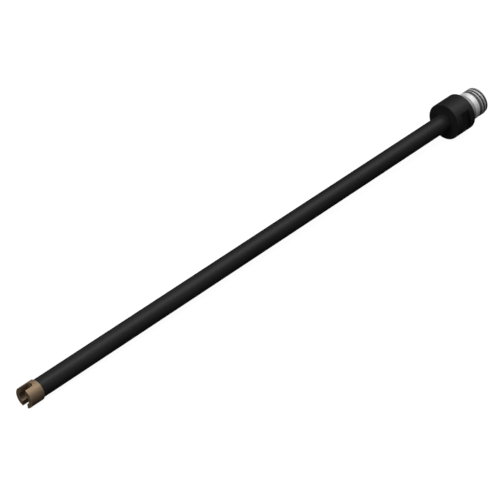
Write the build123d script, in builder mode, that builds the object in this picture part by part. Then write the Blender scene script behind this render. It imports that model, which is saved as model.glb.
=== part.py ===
from build123d import *
import os
from math import atan2, cos, degrees, radians, sin, sqrt, tan

# Diamond core bit: a sintered crown ring brazed to the end of a steel tube, and a
# turned hub with two wrench flats and a threaded shank brazed over the other end.
# Lengths are in millimetres. Stations are measured along the tool's own axis from the
# cutting face, positive towards the shank.

# ---- driving dimensions -------------------------------------------------------------
crown_d = 16.0  # cutting diameter
crown_bore_d = 9.2  # diameter of the core it leaves
crown_l = 11.9
crown_edge = 0.15  # worn-off arrises of the sintered ring
slot_w = 5.1  # two water slots, milled straight across the crown
slot_l = 7.8  # depth of a slot from the cutting face
slot_r = 1.9  # corner radius of a slot's closed end

tube_d = 14.14
tube_bore_d = 10.14  # the water passage runs through shank and tube at one diameter
work_l = 450.0  # cutting face to the collar

collar_d = 30.4
collar_l = 20.3
collar_edge = 0.25
socket_l = 16.0  # how far the tube enters the hub
flat_af = 25.0  # across the two wrench flats
flat_start = 5.3  # collar's front face to the flats
flat_l = 9.6  # length of the flats along the axis

shank_d = 22.94  # register and thread major diameter
shank_l = 20.5
passage_d = tube_bore_d
passage_lead = 0.6  # chamfer at the passage's mouth
neck_d = 20.5  # relief groove behind the collar
neck_l = 4.0
register_start = 6.2  # end of the relief's run-out, from the collar's rear face
register_end = 10.75  # end of the smooth register, from the collar's rear face
runout_d = 19.74  # bottom of the groove in which the thread runs out
runout_a = 12.25  # that groove's deepest stretch, from the collar's rear face
runout_b = 13.1
thread_start = 13.95  # rear wall of that groove at full diameter
thread_pitch = 3.2
thread_depth = 1.45
thread_root = 0.25  # width of the flat at a groove's bottom
thread_half_angle = 30.0
thread_edge = 0.15
thread_from = 12.85  # middle of the groove where it leaves the run-out groove
thread_at = 65.0  # where on the round that is, degrees from the top

# ---- how it lies --------------------------------------------------------------------
# At rest the tool lies on the full-round part of the crown, just behind its slots, and
# on the front rim of the collar. The slots face up and down, the wrench flats face
# sideways, and the axis climbs a little towards the shank.
contact_r0, contact_s0 = crown_d / 2, slot_l
contact_r1, contact_s1 = collar_d / 2, work_l + collar_edge
tilt = atan2(contact_r1 - contact_r0, contact_s1 - contact_s0)
total_l = work_l + collar_l + shank_l

# Height of the axis over the table at the cutting face
axis_h = contact_r0 * cos(tilt) - (contact_s0 * sin(tilt))
# Ends of the box along X, to set the origin in its middle. The upper slot takes away the
# very top of the crown's front rim.
crown_top = sqrt((crown_d / 2 - crown_edge) ** 2 - (slot_w / 2) ** 2)
x_low = -crown_top * sin(tilt)
x_high = total_l * cos(tilt) + (shank_d / 2 - thread_edge) * sin(tilt)
x_mid = (x_low + x_high) / 2

nose = Vector(-x_mid, 0, axis_h)  # centre of the cutting face
along = Vector(cos(tilt), 0, sin(tilt))  # towards the shank
upward = Vector(-sin(tilt), 0, cos(tilt))
side = Vector(0, 1, 0)

# Section plane of the turned shapes: x along the axis, y away from it and upward
section = Plane(origin=nose, x_dir=along, z_dir=Vector(0, -1, 0))
turning = Axis(nose, along)


def station(s):
    """Plane across the tool at station s, with x to the side and y upward."""
    return Plane(origin=nose + along * s, x_dir=Vector(0, -1, 0), z_dir=along)


# ---- crown --------------------------------------------------------------------------
with BuildPart() as crown:
    with BuildSketch(section) as crown_section:
        with BuildLine():
            Polyline(
                (crown_edge, crown_bore_d / 2),
                (crown_l, crown_bore_d / 2),
                (crown_l, crown_d / 2),
                (crown_edge, crown_d / 2),
                (0, crown_d / 2 - crown_edge),
                (0, crown_bore_d / 2 + crown_edge),
                close=True,
            )
        make_face()
    revolve(axis=turning)
    # the two water slots, cut right across through both walls
    with BuildSketch(Plane(origin=nose, x_dir=along, z_dir=upward)) as slot_section:
        with BuildLine():
            FilletPolyline(
                (-1, -slot_w / 2),
                (slot_l, -slot_w / 2),
                (slot_l, slot_w / 2),
                (-1, slot_w / 2),
                radius=slot_r,
            )
            Line((-1, slot_w / 2), (-1, -slot_w / 2))
        make_face()
    extrude(amount=crown_d, both=True, mode=Mode.SUBTRACT)
crown.part.label = "crown"

# ---- tube ---------------------------------------------------------------------------
with BuildPart() as tube:
    with BuildSketch(station(crown_l)) as tube_section:
        Circle(tube_d / 2)
        Circle(tube_bore_d / 2, mode=Mode.SUBTRACT)
    extrude(amount=work_l - crown_l + socket_l)
tube.part.label = "tube"

# ---- hub ----------------------------------------------------------------------------
rear = work_l + collar_l  # collar's rear face
end = rear + shank_l
r_s = shank_d / 2

# The thread's groove follows a helix along its bottom. A helix starts at a fixed place
# on the round, so its centre is moved along the axis to bring it to thread_at.
thread_r = r_s - thread_depth
groove_h = thread_depth + 0.4
groove_t = tan(radians(thread_half_angle))
first = (Edge.make_helix(thread_pitch, thread_pitch, thread_r, nose, along) @ 0) - nose
first_at = degrees(atan2(first.dot(along.cross(upward)), first.dot(upward)))
thread_shift = thread_pitch * ((thread_at - first_at) % 360.0) / 360.0
thread_centre = nose + along * (rear + thread_from - thread_shift)
# The shank is turned a little long, threaded, and then faced to length.
spare = 6.0
thread_run = shank_l - thread_from + spare / 2
with BuildPart() as hub:
    with BuildSketch(section) as hub_section:
        with BuildLine():
            Polyline(
                (work_l, tube_d / 2),
                (work_l, collar_d / 2 - collar_edge),
                (work_l + collar_edge, collar_d / 2),
                (rear - collar_edge, collar_d / 2),
                (rear, collar_d / 2 - collar_edge),
                (rear, neck_d / 2),
                (rear + neck_l, neck_d / 2),
                (rear + register_start, r_s),
                (rear + register_end, r_s),
                (rear + runout_a, runout_d / 2),
                (rear + runout_b, runout_d / 2),
                (rear + thread_start, r_s),
                (end + spare, r_s),
                (end + spare, passage_d / 2),
                (work_l + socket_l, passage_d / 2),
                (work_l + socket_l, tube_d / 2),
                close=True,
            )
        make_face()
    revolve(axis=turning)
    # wrench flats, milled on both sides between the collar's two round lands
    for hand in (1, -1):
        with BuildSketch(
            Plane(
                origin=nose + along * (work_l + flat_start + flat_l / 2)
                + side * (hand * flat_af / 2),
                x_dir=along,
                z_dir=side * hand,
            )
        ) as flat_section:
            Rectangle(flat_l, collar_d + 2)
        extrude(amount=collar_d / 2, mode=Mode.SUBTRACT)
    # right-hand thread, cut from the run-out groove to past the end
    with BuildLine() as thread_line:
        thread_path = Helix(
            thread_pitch, thread_run, thread_r, center=thread_centre, direction=along
        )
    with BuildSketch(
        Plane(
            origin=thread_path @ 0,
            x_dir=(thread_path @ 0) - thread_centre,
            z_dir=thread_path % 0,
        )
    ) as groove_section:
        with BuildLine():
            Polyline(
                (0, -thread_root / 2),
                (groove_h, -thread_root / 2 - groove_h * groove_t),
                (groove_h, thread_root / 2 + groove_h * groove_t),
                (0, thread_root / 2),
                close=True,
            )
        make_face()
    sweep(path=thread_path, is_frenet=True, mode=Mode.SUBTRACT)
    # end face, with the broken edge of the thread and the mouth of the water passage
    with BuildSketch(section) as facing_section:
        with BuildLine():
            Polyline(
                (end - passage_lead - 2, passage_d / 2 - 2),
                (end, passage_d / 2 + passage_lead),
                (end, r_s - thread_edge),
                (end - thread_edge - 1, r_s + 1),
                (end + 2 * spare, r_s + 1),
                (end + 2 * spare, passage_d / 2 - 2),
                close=True,
            )
        make_face()
    revolve(axis=turning, mode=Mode.SUBTRACT)
hub.part.label = "hub"

# ---- files --------------------------------------------------------------------------
os.makedirs("parts", exist_ok=True)
export_step(crown.part, "parts/crown.step")
export_step(tube.part, "parts/tube.step")
export_step(hub.part, "parts/hub.step")

print("tilt", degrees(tilt), "total", total_l, "x_mid", x_mid, "axis_h", axis_h)
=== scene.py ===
import bpy, bmesh, math
from mathutils import Vector, Matrix

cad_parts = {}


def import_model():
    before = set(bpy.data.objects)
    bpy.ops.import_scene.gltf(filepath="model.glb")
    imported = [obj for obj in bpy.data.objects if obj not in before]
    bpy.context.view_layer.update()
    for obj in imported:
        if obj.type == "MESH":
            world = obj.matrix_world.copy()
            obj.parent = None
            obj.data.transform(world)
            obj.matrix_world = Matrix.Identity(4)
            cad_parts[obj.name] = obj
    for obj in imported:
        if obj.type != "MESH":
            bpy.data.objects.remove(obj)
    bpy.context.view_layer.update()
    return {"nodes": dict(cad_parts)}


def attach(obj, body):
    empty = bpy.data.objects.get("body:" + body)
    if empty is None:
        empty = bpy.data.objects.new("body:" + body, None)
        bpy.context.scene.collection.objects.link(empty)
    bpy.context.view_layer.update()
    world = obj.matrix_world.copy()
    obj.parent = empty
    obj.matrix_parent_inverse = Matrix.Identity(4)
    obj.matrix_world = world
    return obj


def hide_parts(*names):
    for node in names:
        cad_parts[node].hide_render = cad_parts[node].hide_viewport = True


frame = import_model()
nodes = frame["nodes"]

# ---------------------------------------------------------------- the tool's own axis
# The tool lies on the crown, just behind its slots, and on the collar's front rim, so
# its axis climbs a little to +X. Stations are millimetres along it from the cutting face.
MM = 0.001
CROWN_R, TUBE_R, BORE_R, COLLAR_R, SHANK_R = 8.0, 7.07, 5.07, 15.2, 11.47
CROWN_L, SLOT_L, SLOT_W = 11.9, 7.8, 5.1
WORK_L, SOCKET_L, REAR, END = 450.0, 16.0, 470.3, 490.8
TILT = math.atan2(COLLAR_R - CROWN_R, WORK_L + 0.25 - SLOT_L)
X_LOW = -math.sqrt((CROWN_R - 0.15) ** 2 - (SLOT_W / 2) ** 2) * math.sin(TILT)
X_HIGH = END * math.cos(TILT) + (SHANK_R - 0.15) * math.sin(TILT)
ALONG = Vector((math.cos(TILT), 0, math.sin(TILT)))
UPWARD = Vector((-math.sin(TILT), 0, math.cos(TILT)))
SIDE = Vector((0, 1, 0))
NOSE = Vector((-(X_LOW + X_HIGH) / 2, 0, CROWN_R * math.cos(TILT) - SLOT_L * math.sin(TILT))) * MM


def station(s, r=0.0, turn=0.0):
    """A point of the tool: station s, radius r, turned from the top towards the camera's side."""
    a = math.radians(turn)
    return NOSE + (ALONG * s + UPWARD * (r * math.cos(a)) - SIDE * (r * math.sin(a))) * MM


# ---------------------------------------------------------------- camera
def make_camera():
    """The photograph's camera: 1.6 m off, looking down on the tool from its left front."""
    unit = TUBE_R * MM
    f, cx, cy, dist = 2357.463, 23.9234, 398.2065, 226.3021
    phi, theta = math.radians(-33.3202), math.radians(35.3741)
    up_at = math.radians(-47.5)
    # in the camera's own terms: x right, y down, z away
    u = Vector((math.cos(theta) * math.cos(phi), math.cos(theta) * math.sin(phi), math.sin(theta)))
    e1 = Vector((math.sin(theta) * math.cos(phi), math.sin(theta) * math.sin(phi), -math.cos(theta)))
    e2 = u.cross(e1)
    n_up = math.cos(up_at) * e1 + math.sin(up_at) * e2
    xw = math.cos(TILT) * u - math.sin(TILT) * n_up
    zw = math.sin(TILT) * u + math.cos(TILT) * n_up
    yw = zw.cross(xw)

    def world(v):
        return Vector((v.dot(xw), v.dot(yw), v.dot(zw)))

    nose_seen = Vector(((cx - 250) / f, (cy - 250) / f, 1)) * dist * unit
    place = NOSE - world(nose_seen)
    right, up, back = world(Vector((1, 0, 0))), world(Vector((0, -1, 0))), world(Vector((0, 0, -1)))
    data = bpy.data.cameras.new("camera")
    data.sensor_fit = "HORIZONTAL"
    data.sensor_width = 36
    data.lens = f * 36 / 500
    data.clip_start, data.clip_end = 0.05, 40
    cam = bpy.data.objects.new("camera", data)
    bpy.context.scene.collection.objects.link(cam)
    m = Matrix((right, up, back)).transposed().to_4x4()
    m.translation = place
    cam.matrix_world = m
    bpy.context.scene.camera = cam


make_camera()


# ---------------------------------------------------------------- node helpers
def new_material(name):
    m = bpy.data.materials.new(name)
    m.use_nodes = True
    t = m.node_tree
    t.nodes.clear()
    out = t.nodes.new("ShaderNodeOutputMaterial")
    p = t.nodes.new("ShaderNodeBsdfPrincipled")
    t.links.new(p.outputs["BSDF"], out.inputs["Surface"])
    return m, t, p


def put(t, kind, **values):
    n = t.nodes.new(kind)
    for k, v in values.items():
        if k in n.inputs:
            n.inputs[k].default_value = v
        else:
            setattr(n, k, v)
    return n


def tool_coords(t):
    """Object coordinates turned so that X runs along the tool from the cutting face and Z is upward."""
    co = t.nodes.new("ShaderNodeTexCoord")
    shift = put(t, "ShaderNodeVectorMath", operation="SUBTRACT")
    shift.inputs[1].default_value = NOSE
    t.links.new(co.outputs["Object"], shift.inputs[0])
    rot = put(t, "ShaderNodeVectorRotate", rotation_type="Y_AXIS")
    rot.inputs["Angle"].default_value = TILT
    t.links.new(shift.outputs[0], rot.inputs["Vector"])
    return rot.outputs["Vector"]


def noise(t, v, scale, detail=2.0, stretch=None, rough=0.5):
    n = put(t, "ShaderNodeTexNoise", Scale=scale, Detail=detail, Roughness=rough)
    if stretch:
        s = put(t, "ShaderNodeVectorMath", operation="MULTIPLY")
        s.inputs[1].default_value = stretch
        t.links.new(v, s.inputs[0])
        v = s.outputs[0]
    t.links.new(v, n.inputs["Vector"])
    return n.outputs["Fac"]


def span(t, fac, low, high, at=(0.0, 1.0)):
    r = put(t, "ShaderNodeMapRange")
    for k, v in (("From Min", at[0]), ("From Max", at[1]), ("To Min", low), ("To Max", high)):
        r.inputs[k].default_value = v
    t.links.new(fac, r.inputs["Value"])
    return r.outputs["Result"]


def shades(t, fac, *stops):
    ramp = t.nodes.new("ShaderNodeValToRGB")
    e = ramp.color_ramp.elements
    while len(e) < len(stops):
        e.new(0.5)
    for i, (at, colour) in enumerate(stops):
        e[i].position = at
        e[i].color = (*colour, 1)
    t.links.new(fac, ramp.inputs["Fac"])
    return ramp.outputs["Color"]


def mix(t, fac, a, b):
    """Colour a where fac is 0 and b where it is 1; each is a socket or a plain colour."""
    m = put(t, "ShaderNodeMix", data_type="RGBA")
    t.links.new(fac, m.inputs[0])
    for i, c in ((6, a), (7, b)):
        if isinstance(c, tuple):
            m.inputs[i].default_value = (*c, 1)
        else:
            t.links.new(c, m.inputs[i])
    return m.outputs[2]


def math_of(t, operation, a, b=None):
    m = put(t, "ShaderNodeMath", operation=operation)
    for i, c in ((0, a), (1, b)):
        if c is None:
            continue
        if isinstance(c, (int, float)):
            m.inputs[i].default_value = c
        else:
            t.links.new(c, m.inputs[i])
    return m.outputs[0]


def bump(t, p, height, strength, distance):
    b = put(t, "ShaderNodeBump", Strength=strength, Distance=distance)
    t.links.new(height, b.inputs["Height"])
    t.links.new(b.outputs["Normal"], p.inputs["Normal"])


# ---------------------------------------------------------------- finishes
COAT_DARK, COAT_LIGHT = (0.0122, 0.0122, 0.0123), (0.0183, 0.0183, 0.0185)


def coat_parts(t, v):
    """A satin black coat: colour and roughness that drift a little, over a fine powder grain."""
    drift = noise(t, v, 60.0, 2.0, (0.35, 1.0, 1.0))
    grain = noise(t, v, 2600.0, 3.0)
    both = math_of(t, "ADD", math_of(t, "MULTIPLY", drift, 0.55), math_of(t, "MULTIPLY", grain, 0.45))
    colour = shades(t, both, (0.3, COAT_DARK), (0.7, COAT_LIGHT))
    rough = span(t, both, 0.37, 0.43, (0.3, 0.7))
    return colour, rough, grain


def black_coat():
    m, t, p = new_material("black_coat")
    v = tool_coords(t)
    colour, rough, grain = coat_parts(t, v)
    t.links.new(colour, p.inputs["Base Color"])
    t.links.new(rough, p.inputs["Roughness"])
    p.inputs["Specular IOR Level"].default_value = 0.235
    bump(t, p, grain, 0.10, 0.00002)
    return m


def sintered():
    """The crown: a pressed and sintered bronze matrix, with a fine grit in it."""
    m, t, p = new_material("sintered_matrix")
    v = tool_coords(t)
    grain = noise(t, v, 3200.0, 4.0, None, 0.6)
    patch = noise(t, v, 420.0, 2.0)
    both = math_of(t, "ADD", math_of(t, "MULTIPLY", grain, 0.6), math_of(t, "MULTIPLY", patch, 0.4))
    colour = shades(t, both, (0.3, (0.296, 0.215, 0.142)), (0.7, (0.388, 0.282, 0.186)))
    # diamond grit: small pale and dark specks
    cells = put(t, "ShaderNodeTexVoronoi", Scale=1500.0)
    t.links.new(v, cells.inputs["Vector"])
    speck = span(t, cells.outputs["Distance"], 1.0, 0.0, (0.10, 0.22))
    tone = put(t, "ShaderNodeSeparateColor")
    t.links.new(cells.outputs["Color"], tone.inputs[0])
    some = span(t, tone.outputs[0], 0.0, 1.0, (0.62, 0.70))
    where = math_of(t, "MULTIPLY", math_of(t, "MULTIPLY", speck, some), 0.55)
    grit = shades(t, tone.outputs[1], (0.35, (0.13, 0.098, 0.07)), (0.65, (0.60, 0.50, 0.34)))
    t.links.new(mix(t, where, colour, grit), p.inputs["Base Color"])
    p.inputs["Metallic"].default_value = 1.0
    t.links.new(span(t, grain, 0.56, 0.66, (0.3, 0.7)), p.inputs["Roughness"])
    height = math_of(t, "ADD", grain, math_of(t, "MULTIPLY", where, 0.8))
    bump(t, p, height, 0.22, 0.00004)
    return m


def hub_finish():
    """The same black coat over the collar, and bare turned steel behind its rear face."""
    m, t, p = new_material("hub_finish")
    v = tool_coords(t)
    sep = t.nodes.new("ShaderNodeSeparateXYZ")
    t.links.new(v, sep.inputs[0])
    bare = math_of(t, "GREATER_THAN", sep.outputs["X"], (REAR - 0.02) * MM)
    colour, rough, grain = coat_parts(t, v)
    # turning marks run round the axis, so they change only along it and outward
    off = math_of(t, "SQRT", math_of(t, "ADD", math_of(t, "MULTIPLY", sep.outputs["Y"], sep.outputs["Y"]),
                                     math_of(t, "MULTIPLY", sep.outputs["Z"], sep.outputs["Z"])))
    flat = t.nodes.new("ShaderNodeCombineXYZ")
    t.links.new(sep.outputs["X"], flat.inputs["X"])
    t.links.new(off, flat.inputs["Y"])
    turned = noise(t, flat.outputs[0], 5200.0, 2.0)
    band = noise(t, flat.outputs[0], 700.0, 1.0)
    stain = noise(t, v, 180.0, 3.0)
    steel = shades(t, math_of(t, "ADD", math_of(t, "MULTIPLY", turned, 0.5), math_of(t, "MULTIPLY", stain, 0.5)),
                   (0.3, (0.90, 0.90, 0.905)), (0.7, (0.99, 0.99, 0.99)))
    # painted shade: the steel is darkened over the relief behind the collar and over the thread, most of all in its
    # roots, and along the end's outer rim
    low = span(t, off, 1.0, 0.0, ((SHANK_R - 0.14) * MM, (SHANK_R - 0.02) * MM))
    ahead = math_of(t, "LESS_THAN", sep.outputs["X"], (REAR + 8.0) * MM)
    deep = span(t, off, 1.0, 0.0, ((SHANK_R - 0.50) * MM, (SHANK_R - 0.04) * MM))
    behind = math_of(t, "GREATER_THAN", sep.outputs["X"], (REAR + 10.8) * MM)
    threaded = span(t, sep.outputs["X"], 0.72, 1.0, ((REAR + 13.1) * MM, (REAR + 14.2) * MM))
    # but not on the end face or in the passage
    outside = math_of(t, "MULTIPLY", math_of(t, "GREATER_THAN", off, (SHANK_R - 1.9) * MM),
                      math_of(t, "LESS_THAN", sep.outputs["X"], (END - 0.03) * MM))
    behind = math_of(t, "MULTIPLY", behind, outside)
    # painted shade, darkest, in the thread roots
    root_shade = math_of(t, "MULTIPLY", math_of(t, "MULTIPLY", deep, behind), math_of(t, "MULTIPLY", threaded, 0.97))
    # painted shade, lighter, over the whole threaded length, crests too
    crest_shade = math_of(t, "MULTIPLY", behind, 0.32)
    # painted shade over the relief behind the collar
    relief = math_of(t, "MULTIPLY", math_of(t, "MULTIPLY", low, ahead), 0.56)
    # painted shade along the outer rim of the shank's end
    skin = span(t, off, 0.0, 0.75, ((SHANK_R - 0.30) * MM, (SHANK_R - 0.15) * MM))
    rim = math_of(t, "MULTIPLY", skin, span(t, sep.outputs["X"], 0.0, 1.0, ((END - 0.55) * MM, (END - 0.30) * MM)))
    painted_shade = math_of(t, "MAXIMUM", math_of(t, "MAXIMUM", root_shade, crest_shade), math_of(t, "MAXIMUM", relief, rim))
    # the painted shade: near-black steel colour wherever these masks reach
    steel = mix(t, painted_shade, steel, (0.048, 0.048, 0.048))
    t.links.new(mix(t, bare, colour, steel), p.inputs["Base Color"])
    t.links.new(bare, p.inputs["Metallic"])
    p.inputs["Specular IOR Level"].default_value = 0.235
    metal_rough = math_of(t, "ADD", span(t, turned, 0.64, 0.70, (0.3, 0.7)), math_of(t, "MULTIPLY", band, 0.03))
    pick = put(t, "ShaderNodeMix", data_type="FLOAT")
    t.links.new(bare, pick.inputs[0])
    t.links.new(rough, pick.inputs[2])
    t.links.new(metal_rough, pick.inputs[3])
    t.links.new(pick.outputs[0], p.inputs["Roughness"])
    high = put(t, "ShaderNodeMix", data_type="FLOAT")
    t.links.new(bare, high.inputs[0])
    t.links.new(grain, high.inputs[2])
    t.links.new(turned, high.inputs[3])
    bump(t, p, high.outputs[0], 0.10, 0.00002)
    return m


coat = black_coat()
for name, finish in (("crown", sintered()), ("hub", hub_finish())):
    o = nodes[name]
    o.data.materials.clear()
    o.data.materials.append(finish)
nodes["tube"].data.materials.clear()
nodes["tube"].data.materials.append(coat)


def even_shading(o):
    """The turned faces are packed with a seam along the top. Joined, then split at real edges only, they shade evenly."""
    join = o.modifiers.new("join", "WELD")
    join.merge_threshold = 1e-6
    edges = o.modifiers.new("edges", "EDGE_SPLIT")
    edges.split_angle = math.radians(20)
    edges.use_edge_sharp = False
    normals = o.modifiers.new("normals", "WEIGHTED_NORMAL")
    normals.mode = "CORNER_ANGLE"
    normals.keep_sharp = False


even_shading(nodes["crown"])
even_shading(nodes["hub"])


# ---------------------------------------------------------------- the tube, turned finely
def make_tube():
    """The barrel tube as a closed pipe with a smooth wall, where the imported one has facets."""
    around = 160
    rings = (
        [(CROWN_L, BORE_R)]
        + [(CROWN_L, TUBE_R)]
        + [(CROWN_L + (WORK_L - CROWN_L) * k / 12, TUBE_R) for k in range(1, 12)]
        + [(WORK_L + SOCKET_L, TUBE_R), (WORK_L + SOCKET_L, BORE_R)]
    )
    bm = bmesh.new()
    loops = [[bm.verts.new(station(s, r, 360.0 * j / around)) for j in range(around)] for s, r in rings]
    count = len(loops)
    for i in range(count):
        a, b = loops[i], loops[(i + 1) % count]
        wall = rings[i][1] == rings[(i + 1) % count][1]
        for j in range(around):
            k = (j + 1) % around
            f = bm.faces.new((a[j], a[k], b[k], b[j]))
            f.smooth = wall
    bmesh.ops.recalc_face_normals(bm, faces=bm.faces)
    for e in bm.edges:
        if len(e.link_faces) == 2 and e.calc_face_angle() > 0.7:
            e.smooth = False
    data = bpy.data.meshes.new("barrel_tube")
    bm.to_mesh(data)
    bm.free()
    o = bpy.data.objects.new("barrel_tube", data)
    bpy.context.scene.collection.objects.link(o)
    data.materials.append(coat)
    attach(o, "root")
    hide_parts("tube")
    return o


make_tube()


# ---------------------------------------------------------------- floor and light
def make_floor():
    data = bpy.data.meshes.new("floor")
    s = 6.0
    data.from_pydata([(-s, -s, 0), (s, -s, 0), (s, s, 0), (-s, s, 0)], [], [(0, 1, 2, 3)])
    o = bpy.data.objects.new("floor", data)
    o.location.z = -0.0002
    bpy.context.scene.collection.objects.link(o)
    m = bpy.data.materials.new("floor")
    m.use_nodes = True
    t = m.node_tree
    t.nodes.clear()
    out = t.nodes.new("ShaderNodeOutputMaterial")
    em = put(t, "ShaderNodeEmission", Color=(1, 1, 1, 1), Strength=0.95)
    df = put(t, "ShaderNodeBsdfDiffuse", Color=(0.14, 0.14, 0.14, 1))
    add = t.nodes.new("ShaderNodeAddShader")
    t.links.new(em.outputs[0], add.inputs[0])
    t.links.new(df.outputs[0], add.inputs[1])
    t.links.new(add.outputs[0], out.inputs["Surface"])
    data.materials.append(m)
    o.visible_diffuse = False
    o.visible_glossy = False


def soft_box(name, angle, rear, wide, deep, light, distance=5.0):
    """A big soft box. angle goes round the tool, in degrees, from its camera side (0) over the top (-47.5 is straight
    up); rear turns it from square on towards the shank's end. wide and deep are its half angles, and light is
    what it casts on a surface that faces it."""
    a, e = math.radians(angle + 47.5), math.radians(rear)
    radial = math.cos(a) * UPWARD - math.sin(a) * SIDE
    tangent = -math.sin(a) * UPWARD - math.cos(a) * SIDE
    d = math.cos(e) * radial + math.sin(e) * ALONG
    data = bpy.data.lights.new(name, "AREA")
    data.shape = "ELLIPSE"
    data.size = 2 * distance * math.tan(math.radians(wide) * math.cos(e))
    data.size_y = 2 * distance * math.tan(math.radians(deep))
    data.energy = light * math.pi * distance**2
    o = bpy.data.objects.new(name, data)
    bpy.context.scene.collection.objects.link(o)
    x = tangent
    z = d
    y = z.cross(x)
    m = Matrix((x, y, z)).transposed().to_4x4()
    m.translation = Vector((0, 0, 0.012)) + d * distance
    o.matrix_world = m
    return o


make_floor()
soft_box("key", -35, 2, 18, 16, 1.59)
soft_box("front", -47, -76, 26, 24, 1.26)
soft_box("far_side", -100, 2, 18, 16, 0.60)
soft_box("near_front", 30, -36, 18, 16, 0.38)
soft_box("near_side", 26, 2, 18, 16, 0.24)
soft_box("behind", -35, 36, 18, 16, 0.45)
soft_box("behind_near", -5, 34, 18, 16, 0.20)
soft_box("behind_far", -65, 34, 18, 16, 0.15)

world = bpy.data.worlds.new("world")
world.use_nodes = True
wt = world.node_tree
wt.nodes.clear()
w_out = wt.nodes.new("ShaderNodeOutputWorld")
fill = put(wt, "ShaderNodeBackground", Color=(1, 1, 1, 1), Strength=0.015)
paper = put(wt, "ShaderNodeBackground", Color=(1, 1, 1, 1), Strength=1.0)
seen = wt.nodes.new("ShaderNodeLightPath")
w_mix = wt.nodes.new("ShaderNodeMixShader")
wt.links.new(seen.outputs["Is Camera Ray"], w_mix.inputs[0])
wt.links.new(fill.outputs[0], w_mix.inputs[1])
wt.links.new(paper.outputs[0], w_mix.inputs[2])
wt.links.new(w_mix.outputs[0], w_out.inputs["Surface"])
bpy.context.scene.world = world
bpy.context.scene.view_settings.view_transform = "Standard"
bpy.context.scene.view_settings.look = "None"
